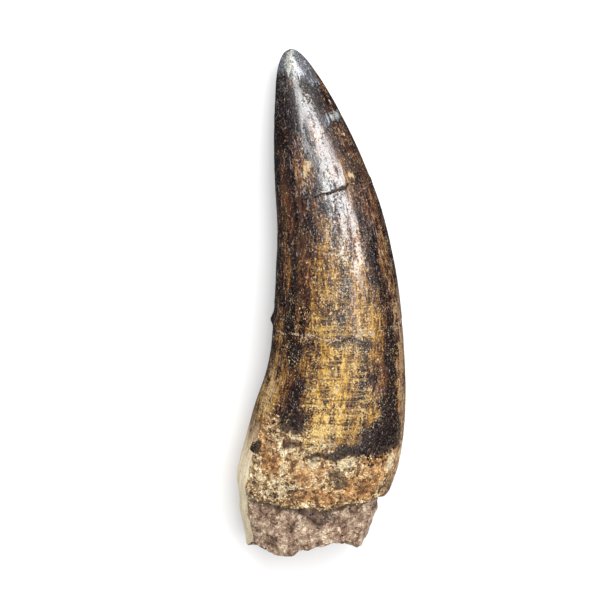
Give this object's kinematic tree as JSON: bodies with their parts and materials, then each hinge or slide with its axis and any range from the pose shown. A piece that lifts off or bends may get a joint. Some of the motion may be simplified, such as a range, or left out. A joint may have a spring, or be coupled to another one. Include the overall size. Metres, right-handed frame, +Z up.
{
  "type": "fossil suchomimus tooth",
  "caption": "Recurved fossil dinosaur tooth with a dark glossy crown, a sandy crust round its base and a short broken root, lying on a small worn flat.",
  "frame": {"origin": "middle of the bottom of the bounding box, on the surface that the tooth lies on", "axes": "+Y along the tooth towards its tip, +X towards its outer, swelling edge, +Z up"},
  "size_m": [0.0306, 0.0896, 0.0212],
  "materials": {
    "fossil_enamel": "glossy dark brown and ochre crown, matt at the base",
    "sand_crust": "matt cemented sand"
  },
  "bodies": {
    "root": {"tooth": "fossil_enamel"}
  },
  "joints": []
}
